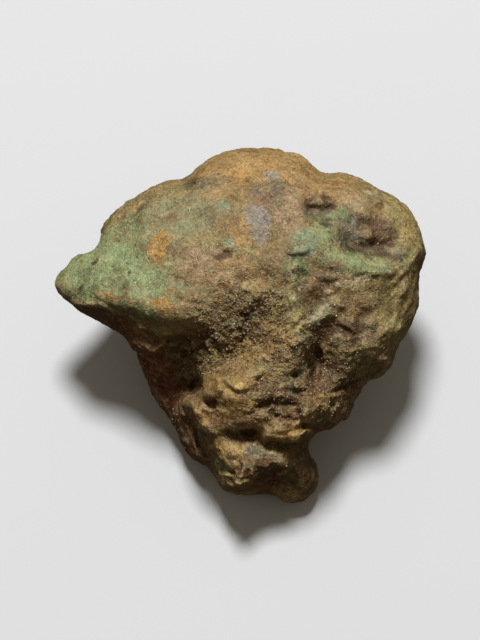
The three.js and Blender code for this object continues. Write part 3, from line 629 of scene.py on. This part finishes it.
# Where each mineral shows on the seen face: middle x and y, half length, half width, turn, strength.
# The numbers after its name are its colour, and how much of it the other side shows. Some entries carry
# painted shade or a painted highlight, as marked.
MINERALS = {
    "sage": ((140, 156, 108), 0.35, [
        (4.9, 5.4, 0.7, 1.6, 0, 0.9), (-12.6, 4.9, 5.2, 3.0, -12, 1.5), (-10.4, 9.2, 2.2, 2.6, 0, 0.8),
        (-5.6, 9.0, 1.6, 0.9, 0, 0.6), (15.8, 6.7, 1.3, 1.5, 0, 0.85), (-0.1, 7.2, 1.6, 0.8, 0, 0.6),
        (7.8, 8.8, 1.5, 1.7, 0, 0.95), (11.2, 6.0, 3.2, 1.1, -14, 1.0), (8.8, 6.6, 1.6, 0.7, 0, 0.8),
        (-0.1, 2.5, 1.3, 0.6, 0, 0.55), (4.8, 2.6, 0.7, 1.6, -10, 0.5), (4.8, -5.2, 0.8, 1.0, 0, 0.5),
        (-9.2, 1.1, 1.6, 0.5, -12, 0.8)]),
    "grey_green": ((140, 136, 98), 0.2, [
        (-5.6, 10.2, 3.8, 2.6, 10, 1.1), (-10.6, 9.8, 1.6, 1.6, 0, 0.6)]),
    "teal": ((128, 146, 114), 0.1, [
        (5.6, 7.9, 1.3, 1.3, 0, 1.3), (4.8, 6.1, 1.0, 1.2, 0, 0.7), (9.4, 5.3, 1.6, 0.6, -10, 0.5),
        (7.7, 9.9, 0.9, 0.6, 0, 0.6), (-1.5, 11.2, 0.6, 0.6, 0, 1.0), (-1.1, 7.6, 0.7, 0.45, 0, 1.0),
        (13.6, 5.6, 1.4, 0.6, 0, 0.7)]),
    "ochre": ((176, 139, 86), 0.3, [
        (0.2, 8.4, 1.1, 1.4, 0, 0.9), (2.7, 15.0, 6.8, 2.5, 0, 1.1), (-2.5, 14.1, 2.5, 1.8, 30, 0.95),
        (5.4, 13.4, 2.0, 1.2, 0, 1.0), (9.9, 12.9, 2.8, 1.6, -25, 0.95), (-0.1, 3.6, 2.6, 1.6, 0, 0.7),
        (-0.8, 5.6, 1.6, 1.1, 0, 0.65), (-2.4, -4.7, 1.8, 1.0, 0, 0.8), (-1.2, -6.0, 2.2, 1.3, 0, 0.65),
        (-1.3, -11.6, 1.4, 0.8, 0, 1.0), (-4.3, -7.5, 1.4, 0.9, -40, 0.9), (7.0, -7.5, 1.8, 0.9, 20, 0.8),
        (0.6, -2.5, 2.5, 1.0, 0, 0.6), (3.2, -1.0, 2.2, 0.8, 0, 1.0), (-10.5, 11.2, 1.2, 0.55, 25, 0.9)]),
    "orange": ((182, 138, 72), 0.12, [
        (-7.6, 7.5, 1.1, 1.6, -10, 1.0), (-7.5, 1.9, 1.4, 0.5, -5, 1.0), (-12.2, 2.7, 1.6, 0.4, -10, 0.9),
        (-1.0, 3.9, 1.4, 0.7, 0, 0.6), (9.5, 10.6, 1.2, 0.45, -10, 0.8), (-0.1, 14.3, 2.4, 1.2, 0, 0.55),
        (-0.4, -12.2, 0.6, 0.45, 0, 0.85)]),
    "mauve": ((138, 110, 82), 0.12, [
        (2.6, 12.1, 2.2, 1.0, 0, 1.0), (2.2, 11.2, 1.4, 0.8, 0, 0.9), (1.7, 13.4, 1.4, 0.6, 0, 0.8),
        (-4.6, 4.4, 1.2, 0.9, 0, 0.7), (4.2, 11.2, 1.6, 1.3, 0, 0.65), (10.5, 11.0, 1.8, 0.8, 0, 0.75)]),
    "rose": ((168, 142, 107), 0.0, [
        (-4.3, 6.2, 2.2, 1.7, 0, 0.7), (-1.6, 4.4, 1.6, 0.8, 0, 0.7), (12.1, 11.6, 0.9, 0.6, -30, 0.9),
        (5.2, 11.1, 0.9, 2.0, 5, 1.2), (4.3, 9.9, 1.2, 1.4, 0, 1.0), (11.5, 12.0, 1.8, 0.9, -25, 0.8)]),
    "lilac": ((148, 138, 126), 0.05, [
        (1.5, 10.2, 1.2, 0.8, 0, 1.25), (1.9, 9.1, 0.7, 1.2, -8, 1.2), (3.0, 14.1, 1.1, 0.6, 0, 0.85),
        (10.5, 9.9, 1.1, 0.8, 0, 0.8)]),
    "honey": ((154, 118, 62), 0.2, [
        (-0.6, -5.6, 3.4, 2.4, 0, 0.9), (0.2, -8.6, 3.4, 1.4, 0, 0.8), (1.2, -2.2, 2.6, 1.4, 0, 0.9),
        (7.4, -7.0, 1.6, 1.3, 10, 1.1), (-4.2, -8.4, 1.6, 1.1, -45, 0.8), (4.3, -10.0, 2.6, 1.1, 0, 0.8),
        (-0.8, -12.2, 1.4, 1.6, 0, 0.7), (5.6, -12.0, 1.6, 1.2, 0, 0.6), (2.0, 0.4, 2.2, 1.6, 0, 0.6)]),
    "brown": ((120, 90, 56), 0.35, [
        (9.6, -3.4, 3.6, 2.6, 10, 0.9), (9.6, -7.4, 1.8, 2.0, 0, 0.7), (4.6, -8.4, 2.4, 0.9, 0, 0.6),
        (12.2, 1.2, 2.6, 2.8, 0, 0.5), (7.6, 3.4, 2.2, 1.6, 0, 0.7), (1.6, -13.2, 3.2, 1.4, 0, 0.7),
        (-4.6, -11.0, 1.8, 2.6, 28, 0.7), (0.8, 2.8, 2.6, 1.0, 5, 0.35), (-1.0, -8.9, 3.0, 0.9, 0, 0.95),
        (-4.4, -9.2, 1.0, 1.8, 28, 0.5), (4.3, -10.2, 2.4, 0.7, 0, 0.5), (-4.0, 13.2, 1.6, 1.0, 15, 0.5),
        (3.0, 12.6, 1.8, 0.8, 0, 0.5), (2.8, -6.0, 1.4, 1.0, 0, 0.7), (-7.8, 12.6, 1.4, 0.6, 20, 0.65),
        (-11.6, 10.3, 0.6, 0.9, 0, 0.7), (-6.6, 10.1, 1.1, 0.5, 20, 0.65)]),
    "olive": ((155, 142, 91), 0.3, [
        (14.6, -0.8, 1.6, 2.6, 15, 0.9), (-5.0, 12.4, 2.6, 1.2, 20, 0.6), (-4.0, 8.0, 2.6, 1.2, 0, 0.5),
        (8.8, 7.9, 1.6, 1.0, 0, 0.6), (-10.0, 0.2, 4.5, 0.8, -16, 0.8), (16.0, 9.0, 1.3, 2.0, 0, 1.0),
        (-3.4, 13.2, 1.6, 0.9, 0, 0.7), (0.6, 3.4, 1.4, 0.8, 0, 0.6), (15.0, 10.5, 1.7, 3.2, 0, 0.85),
        (13.7, 12.0, 2.7, 1.6, -35, 0.7), (14.2, 2.5, 2.7, 3.6, 0, 0.7), (11.3, -3.2, 3.2, 2.2, 0, 0.7),
        (-11.5, 9.6, 1.1, 1.6, 0, 0.5)]),
    # Partly a darker green of the rock, partly painted shade: the green's darker copy laid on the undersides
    # of the green ridge and the teal boss
    "moss_and_green_shade": ((116, 126, 82), 0.0, [
        (-1.4, -4.8, 0.4, 0.3, 0, 0.9), (11.2, 5.2, 2.2, 0.6, -8, 1.1), (7.7, 10.0, 1.0, 0.5, -10, 1.2),
        (9.4, 10.3, 1.0, 0.9, 0, 1.0), (5.2, 5.6, 1.1, 1.1, 0, 1.1), (8.1, 6.1, 0.7, 0.4, 0, 1.0),
        (15.5, 6.6, 1.4, 1.0, 0, 0.75), (-1.7, -13.2, 1.0, 1.2, 0, 0.8), (4.9, -4.4, 0.9, 1.2, 0, 0.6),
        (-5.4, 4.0, 1.0, 0.6, -20, 0.9), (-9.4, 9.2, 1.2, 1.8, 0, 0.5)]),
    "gold": ((206, 174, 100), 0.0, [
        (-0.9, -11.7, 1.1, 0.7, -10, 1.1), (-0.9, -5.9, 0.9, 0.5, 0, 0.9), (6.9, -6.7, 0.9, 0.6, 20, 0.7),
        (-0.2, -5.7, 0.6, 0.5, 0, 0.9), (0.4, -14.6, 0.9, 0.35, 8, 0.9), (-4.1, -8.5, 1.5, 0.6, -55, 0.45)]),
    # Partly a pale straw of the rock, partly a painted highlight along the right rim
    "straw_and_highlight": ((174, 153, 97), 0.0, [
        (15.8, 9.6, 1.2, 2.2, 0, 1.0), (16.2, 6.4, 0.8, 2.0, 0, 0.7), (14.6, 11.8, 1.2, 1.0, -30, 0.7),
        (4.6, 0.6, 1.2, 0.9, 0, 0.9)]),
    "slate": ((108, 102, 82), 0.05, [
        (2.6, 12.8, 2.2, 0.9, 0, 0.75), (-3.4, 13.2, 1.8, 0.9, 15, 0.75), (11.2, 8.5, 2.4, 1.4, -8, 1.25),
        (12.3, 6.8, 0.6, 0.4, 0, 0.8), (-5.5, 4.0, 0.9, 0.5, 0, 0.6), (7.4, 10.9, 0.9, 0.5, 0, 1.3),
        (11.0, 9.5, 1.2, 0.5, 0, 0.8), (6.4, 11.0, 0.3, 0.8, 0, 0.8), (5.9, -1.1, 1.3, 0.8, 0, 0.7),
        (11.3, 0.2, 1.3, 0.8, 0, 0.7), (1.4, -11.5, 1.3, 0.8, 0, 1.05), (9.9, -0.9, 1.8, 1.2, 0, 0.6),
        (8.0, 4.6, 1.6, 0.9, 0, 0.6)]),
    # Painted shade: a dark grey laid into the valley, the pits, the cracks and the small dark specks
    "shadow_grey": ((64, 58, 42), 0.0, [
        (11.6, 7.3, 2.2, 0.7, -12, 1.6), (12.6, 7.0, 0.8, 0.5, 0, 0.9), (7.9, 9.8, 0.9, 0.3, -10, 0.9),
        (5.2, 5.0, 1.1, 0.5, 0, 1.1), (14.9, 6.4, 1.0, 0.4, 30, 0.9), (-1.9, 6.8, 0.8, 0.35, -15, 0.9),
        (7.3, 4.1, 0.9, 0.4, 20, 0.7), (-4.6, 13.6, 0.9, 0.5, 30, 0.7), (-13.8, 6.2, 0.32, 0.15, 50, 1.6),
        (-10.8, 4.75, 0.2, 0.15, 0, 1.6), (-14.9, 3.6, 0.3, 0.22, 0, 1.4),
        (-8.0, 6.1, 0.4, 0.12, -10, 1.3), (4.6, -6.0, 0.9, 0.7, 0, 0.8)]),
    "lime": ((172, 164, 96), 0.0, [
        (5.9, -0.1, 0.8, 0.6, -30, 1.4), (4.6, 3.0, 0.8, 1.6, 0, 0.8), (5.2, 1.2, 0.8, 1.1, -20, 0.75),
        (-2.75, -2.6, 1.0, 0.6, 0, 0.85), (-0.2, -14.5, 1.4, 0.5, 0, 0.6), (-1.6, -13.4, 0.8, 1.0, 0, 0.5)]),
    "misty_green": ((168, 166, 132), 0.0, [
        (7.3, 1.1, 1.5, 0.8, 42, 1.3), (5.0, 2.6, 0.7, 1.5, 0, 0.7)]),
    "cream": ((190, 172, 134), 0.06, [
        (10.6, 4.15, 1.7, 0.35, 0, 1.2), (8.1, 3.2, 0.6, 0.35, 0, 1.0), (12.4, 12.6, 0.8, 0.5, -30, 0.8),
        (-5.4, -9.7, 1.5, 0.6, -62, 1.4), (4.5, -9.9, 2.4, 0.8, 0, 0.35),
        (2.6, -12.0, 1.4, 0.35, 12, 0.7), (11.5, 4.4, 1.0, 0.4, 0, 0.6)]),
    # On the seen face mostly painted shade: a dark brown laid into recesses, crevices and pits, under the
    # nose and the ledge, on the foot's right lobe and over the flank; elsewhere a dark brown of the rock
    "umber_and_shade": ((86, 58, 30), 0.35, [
        (6.1, -13.4, 1.6, 3.2, 0, 0.9), (3.6, -12.9, 1.2, 0.5, 0, 0.9), (-2.4, 13.4, 1.3, 0.8, 0, 0.45),
        (7.6, 11.5, 1.4, 0.6, 5, 1.3), (-1.7, 6.6, 0.8, 0.4, -15, 0.9), (4.1, -7.7, 1.9, 1.1, 0, 1.3),
        (0.2, -0.6, 2.4, 1.0, -8, 0.9), (8.6, -4.9, 1.6, 1.2, 20, 0.9), (1.4, -13.6, 2.0, 0.9, 0, 1.2),
        (-13.5, 0.9, 3.2, 0.9, -18, 1.2), (13.3, 8.6, 1.2, 1.1, 10, 1.2), (11.8, 9.3, 1.6, 0.7, -8, 0.85),
        (9.0, -0.5, 2.1, 1.0, 0, 1.4), (7.0, -3.8, 0.8, 2.6, 0, 1.4), (5.8, -6.9, 0.9, 1.2, 0, 1.3),
        (9.4, -5.7, 1.5, 0.4, 12, 1.4), (5.9, -6.3, 0.9, 1.0, 0, 1.1), (6.8, -2.8, 0.8, 2.7, 0, 0.9),
        (0.9, 1.0, 1.4, 0.5, 20, 0.9), (-3.8, -1.2, 3.0, 1.2, 5, 0.9), (-2.4, -4.0, 1.3, 0.5, -10, 0.9),
        (-8.8, -6.2, 4.0, 9.5, 22, 0.8), (-9.0, -1.8, 5.5, 1.6, -20, 0.8), (6.4, -15.0, 2.0, 2.2, 0, 0.7),
        (3.0, -13.9, 2.5, 0.9, 8, 1.0), (-2.8, -7.2, 0.8, 0.5, 0, 1.0), (-4.9, -5.2, 1.2, 1.2, 0, 0.8),
        (0.2, -10.1, 1.6, 0.6, 5, 0.9), (7.0, 3.4, 1.2, 1.4, 0, 0.7), (13.4, 11.4, 0.4, 0.6, 0, 0.7),
        (2.2, -7.1, 1.1, 0.5, 5, 0.8), (3.0, -12.7, 1.9, 0.6, 0, 0.6)]),
    # Partly a red-brown of the rock; on the flank and inside the square hole it is painted shade, warmed red
    # as by reflected light
    "rust_and_red_shade": ((110, 50, 20), 0.1, [
        (-8.8, -7.0, 3.2, 8.0, 22, 1.0), (-1.2, -15.6, 2.5, 0.7, 0, 0.9), (2.0, -15.0, 2.0, 1.2, 0, 0.7),
        (-5.0, -11.6, 1.2, 1.6, 28, 0.7), (7.8, -10.0, 1.4, 1.0, 0, 0.8), (-2.8, -7.2, 0.7, 0.5, 0, 0.7)]),
}

points = read_vectors(finished.vertices, "co")
normals = read_vectors(finished.vertices, "normal")
facing = ease(normals[:, 2], -0.15, 0.2)
x = points[:, 0] + STAIN_REACH * swell(points, WARP_SIZE, 3, shift=3.1)
y = points[:, 1] + STAIN_REACH * swell(points, WARP_SIZE, 3, shift=13.1)
for index, (name, (_, behind, ovals)) in enumerate(MINERALS.items()):
    shown = np.zeros(len(points))
    for *place, strength in ovals:
        shown = np.maximum(shown, strength * np.clip(1.25 - 0.75 * oval(x, y, *place), 0, 1))
    far_side = behind * (1 + 1.8 * swell(points, PATCH_SIZE, 2, shift=20.0 * index))
    store(finished, name, shown * facing + far_side * (1 - facing))
store(finished, "rough", roughness_at(points[:, 0], points[:, 1], facing))

# How far each point lies sunk below the rock round it, below 0 where it stands proud; the finish paints shade
# into the hollows and paints the proud edges paler
tree, ports, keys = new_tree("hollow_depth", "Reach", kind="NodeSocketInt")
begin = ports["Geometry"]
place = begin.node("GeometryNodeInputPosition")
blurred = begin.node("GeometryNodeBlurAttribute", {"data_type": "FLOAT_VECTOR"},
                     {"Value": place, "Iterations": ports["Reach"]})
sunk = begin.vector("SUBTRACT", blurred, place)
hollow = begin.vector("DOT_PRODUCT", sunk, begin.node("GeometryNodeInputNormal"), out="Value")
hollows_measured = begin.node("GeometryNodeStoreNamedAttribute", {"data_type": "FLOAT"},
                  {"Geometry": begin, "Name": "hollow", "Value": hollow})
finish_tree(tree, hollows_measured, rock)
finished = run_tree(stone, tree, keys, Reach=12)
gritty = finished.copy()    # still in the face frame, for the sand grains


def settle(mesh, points):
    """The mesh with its points at those places, none of them under the floor."""
    points[:, 2] = np.maximum(points[:, 2], 0)
    write_points(mesh, points)


settle(finished, to_row(read_vectors(finished.vertices, "co")))
coat(finished, rock)


def paint(red, green, blue):
    """A linear colour from the 0 to 255 numbers of a paint chart."""
    return [((part / 255 + 0.055) / 1.055) ** 2.4 for part in (red, green, blue)] + [1.0]


def blend(under, over, mask):
    """Colours mixed as wet paint: under where the mask is 0, over where it is 1."""
    return mask.node("ShaderNodeMix", {"data_type": "RGBA"}, {0: mask, 6: under, 7: over}, 2)


# The rock's finish: its minerals, with painted shade among them, laid over tan sandstone, each with a ragged
# rim
rock.use_nodes = True
start = Wire(rock.node_tree)
finish = rock.node_tree.nodes["Principled BSDF"].inputs


def painted(name):
    return start.node("ShaderNodeAttribute", {"attribute_name": name}, out="Fac")


place = start.node("ShaderNodeTexCoord", out="Object").scaled(1 / MM)
edges = place.noise(1.3, 4, 0.65)
crumbs = place.moved(3, 1, 4).noise(0.36, 3, 0.7)
patches = place.moved(9, 2, 6).noise(2.6, 3)
colour = blend(paint(152, 128, 84), paint(124, 102, 62), (0.5 + patches).clamped())
for index, (name, (shade, _, _)) in enumerate(MINERALS.items()):
    rim = place.moved(7 * index, 3 * index, 0).noise(1.5, 4, 0.6)
    ragged, crisp = (0.2, 3.5) if name in ("lilac", "orange", "cream", "teal") else (0.38, 1.8)
    mask = (painted(name) - 0.55 + ragged * rim + 0.12 * crumbs) * crisp + 0.5
    colour = blend(colour, paint(*shade), mask.clamped() * 0.9)

rough = painted("rough")
hollow = painted("hollow")
wobbly = place.wobbled(0.5, 0.22)
crystal = wobbly.cells(0.2, "Color")
coarse_crystal = wobbly.moved(2, 7, 3).cells(0.52, "Color")
gap = wobbly.cells(0.36).between(0.3, 0.62) * edges.between(-0.6, 0.5)


def channel(colour, name):
    return colour.node("ShaderNodeSeparateColor", {}, {0: colour}, name)


# Clay and iron soaked in along the grain, least of all into the lilac seams
SOAKED = [(11, paint(104, 100, 60), 0.7), (17, paint(194, 172, 130), 0.5), (23, paint(106, 76, 46), 0.7),
          (29, paint(168, 132, 78), 0.4), (31, paint(136, 138, 98), 0.3)]
stained = (0.25 + 1.2 * rough).clamped() * (1 - 0.7 * painted("lilac").clamped())
stretched = start.vector("MULTIPLY", wobbly, (0.7, 1.2, 1.2))
for shift, shade, most in SOAKED:
    stain = stretched.moved(shift, 0, shift).noise(1.5, 4, 0.62)
    colour = blend(colour, shade, stain.between(0.15, 0.6) * stained * most)
brown_pebbles = channel(coarse_crystal, "Red").between(0.7, 1.0) * (0.1 + 0.4 * rough)
colour = blend(colour, paint(104, 76, 46), brown_pebbles)

# Dark and pale specks, painted shade in the hollows, and proud edges painted paler
speck = place.moved(1, 8, 2).noise(0.22, 2, 0.6)
dark = (speck - 0.55).between(0, 0.5) * (0.4 + 0.2 * rough)
colour = blend(colour, paint(62, 44, 24), dark)
pale = place.moved(4, 4, 9).noise(0.26, 2, 0.6)
bright = (pale - 0.6).between(0, 0.5) * (0.4 + 0.35 * rough)
colour = blend(colour, paint(200, 176, 128), bright)
# Painted shade: the hollows darkened to a deep reddish brown
colour = blend(colour, paint(66, 38, 14), hollow.between(0.02, 0.18) * 0.6)
colour = blend(colour, paint(194, 168, 120), (0 - hollow).between(0.03, 0.16) * 0.35)
cracked = (0.06 - wobbly.moved(5, 5, 5).cells(0.46, feature="DISTANCE_TO_EDGE")).between(0, 0.06)
# Brightness that changes from grain to grain; the gaps between grains are darkened as painted shade, and fine
# cracks are darkened too
mottle = (0.99 + 0.1 * place.moved(8, 8, 8).noise(2.4, 2) + 0.22 * place.noise(0.2, 2, 0.7)
          + 0.06 * place.moved(2, 2, 2).noise(0.7, 4, 0.65) + 0.4 * (channel(crystal, "Blue") - 0.5)
          + 0.11 * (channel(coarse_crystal, "Blue") - 0.5) - gap * (0.04 + 0.2 * rough)
          + 0.22 * painted("tone") - 0.2 * cracked)
colour = colour.scaled(mottle)
colour.into(finish["Base Color"])

# Glassy crystal faces, each turned a little its own way, and the fine grain of the rock
glassy = channel(crystal, "Green").between(0.7, 0.8) * patches.between(-0.6, 0.4)
gloss = 0.64 - 0.1 * place.moved(6, 6, 1).noise(0.5, 3) - 0.36 * glassy
gloss.clamped().into(finish["Roughness"])
tilt = crystal.moved(-0.5, -0.5, -0.5).scaled(0.12 + 0.35 * rough + 0.7 * glassy)
facet = start.vector("ADD", start.node("ShaderNodeNewGeometry", out="Normal"), tilt)
fine = (place.noise(0.2, 3, 0.7) * (0.2 + 0.5 * rough) + (0.5 - wobbly.cells(0.2)) * (0.4 + 0.8 * rough)
        + (0.5 - wobbly.cells(0.4)) * (0.2 + 0.7 * rough))
FINE_HEIGHT = 0.08
bump = start.node("ShaderNodeBump", {}, {"Strength": 1.0, "Distance": FINE_HEIGHT * MM, "Height": fine,
                                         "Normal": start.vector("NORMALIZE", facet)})
bump.into(finish["Normal"])
finish["Specular IOR Level"].default_value = 0.5

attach(stone, "root")
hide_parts("turquoise_nugget")

# Sand grains: loose bits of quartz and clay, stuck in the crumbly hollows between the harder ribs.
# Each is a small stone of twenty faces, half sunk in the surface and coloured as the rock is beneath it.
SAND_BAND = 0.3, 0.7   # the sand starts between these heights above the floor
rough_values = np.empty(len(gritty.vertices), dtype=np.float32)
gritty.attributes["rough"].data.foreach_get("value", rough_values)
grip_values = ease(to_row(read_vectors(gritty.vertices, "co"))[:, 2] / MM, *SAND_BAND)
seen = ease(read_vectors(gritty.vertices, "normal")[:, 2], 0.0, 0.3)
store(gritty, "sandy", ease(rough_values, 0.5, 0.95) * grip_values * (0.25 + 0.75 * seen))
grains = put_in_scene("sand_grains", gritty)
tree, ports, keys = new_tree("sand grains", "Density", "Smallest", "Largest")
begin = ports["Geometry"]
seeds = strewn_points(begin, named(begin, "sandy") * ports["Density"], seed=15)
tones = random_number(begin, -1.0, 1.0, seed=16)
toned = begin.node("GeometryNodeStoreNamedAttribute", {"data_type": "FLOAT"},
                   {"Geometry": seeds, "Name": "tone", "Value": tones})
size = random_number(begin, ports["Smallest"], ports["Largest"], seed=19)
strewn = bits_at(toned, random_vector(begin, 0.6, 1.3, seed=18).scaled(size), seed=17)
finish_tree(tree, strewn, rock)
strewn_mesh = run_tree(grains, tree, keys, Density=16.0, Smallest=0.05, Largest=0.13)
settle(strewn_mesh, to_row(read_vectors(strewn_mesh.vertices, "co")))
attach(grains, "root")

# Quartz grains: clear crystals that broke open with the rock, so that some of their faces glint.
# They sit everywhere in it, most of them where it crumbles.
quartz = bpy.data.materials.new("quartz_grain")
quartz_mesh = finished.copy()
quartz_mesh.materials.clear()
crystals = put_in_scene("quartz_grains", quartz_mesh)
tree, ports, keys = new_tree("quartz grains", "Density", "Smallest", "Largest")
begin = ports["Geometry"]
seeds = strewn_points(begin, named(begin, "rough").between(0.2, 0.9) * ports["Density"], seed=25)
size = random_number(begin, ports["Smallest"], ports["Largest"], seed=29)
studded = bits_at(seeds, size, seed=27)
finish_tree(tree, studded, quartz)
studded_mesh = run_tree(crystals, tree, keys, Density=4e6, Smallest=0.00004, Largest=0.0001)
settle(studded_mesh, read_vectors(studded_mesh.vertices, "co"))
coat(studded_mesh, quartz)
quartz.use_nodes = True
glass = quartz.node_tree.nodes["Principled BSDF"].inputs
glass["Base Color"].default_value = (0.42, 0.33, 0.19, 1)
glass["Roughness"].default_value = 0.34
glass["Specular IOR Level"].default_value = 1.0
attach(crystals, "root")

# The floor: a plain pale sheet that the stone lies on. It throws no light back up on the stone.
FLOOR_REACH = 1.5
corners = [(-1, -1), (1, -1), (1, 1), (-1, 1)]
floor_mesh = bpy.data.meshes.new("floor")
floor_mesh.from_pydata([(FLOOR_REACH * x, FLOOR_REACH * y, 0) for x, y in corners], [], [(0, 1, 2, 3)])
floor = put_in_scene("floor", floor_mesh)
paper = bpy.data.materials.new("pale_paper")
paper.use_nodes = True
matt = paper.node_tree.nodes["Principled BSDF"].inputs
matt["Base Color"].default_value = (0.615, 0.63, 0.645, 1)
matt["Roughness"].default_value = 0.9
floor_mesh.materials.append(paper)
floor.visible_diffuse = False
floor.visible_glossy = False

# The light: one soft box above and a little behind the stone, and a faint warm glow from all round,
# stronger from above. Its direction is in the face frame, and its sizes are in metres.
SOFTBOX_DIRECTION = np.array([-0.04, 0.68, 0.73])
SOFTBOX_DISTANCE = 0.6
SOFTBOX_WIDTH = 0.14
SOFTBOX_WATTS = 3.9
toward_light = Vector(FACE_TO_ROW @ SOFTBOX_DIRECTION).normalized()
box = bpy.data.lights.new("softbox", "AREA")
box.shape = "DISK"
box.size = SOFTBOX_WIDTH
box.energy = SOFTBOX_WATTS
softbox = put_in_scene("softbox", box)
softbox.location = toward_light * SOFTBOX_DISTANCE
softbox.rotation_euler = toward_light.to_track_quat("Z", "Y").to_euler()
world = bpy.data.worlds.new("studio")
world.use_nodes = True
sky = Wire(world.node_tree)
direction = sky.node("ShaderNodeTexCoord", out="Generated")
glow = sky.node("ShaderNodeSeparateXYZ", {}, {0: direction}, "Z").between(-0.3, 0.4)
background = world.node_tree.nodes["Background"].inputs
background["Color"].default_value = (1, 0.87, 0.68, 1)
(0.045 + 0.15 * glow).into(background["Strength"])
bpy.context.scene.world = world
bpy.context.scene.view_settings.view_transform = "Standard"

# The camera looks straight down on the stone's face, from 300 mm off.
DISTANCE = 300
IMAGE_WIDTH, IMAGE_HEIGHT = 480, 640
ORIGIN_COLUMN, ORIGIN_ROW = 241, 326   # where the face frame's origin shows in the image
PIXEL = 0.095                          # the millimetres that it covers on the stone
SENSOR = 36
camera_data = bpy.data.cameras.new("camera")
camera_data.sensor_width = SENSOR
camera_data.lens = SENSOR * DISTANCE / (IMAGE_HEIGHT * PIXEL)
camera_data.clip_start = 0.01
camera = put_in_scene("camera", camera_data)
camera_x = (IMAGE_WIDTH / 2 - ORIGIN_COLUMN) * PIXEL
camera_y = (ORIGIN_ROW - IMAGE_HEIGHT / 2) * PIXEL
camera.location = to_row(np.array([camera_x, camera_y, DISTANCE]))
camera.rotation_euler = (FACE_LEAN, 0, 0)
bpy.context.scene.camera = camera
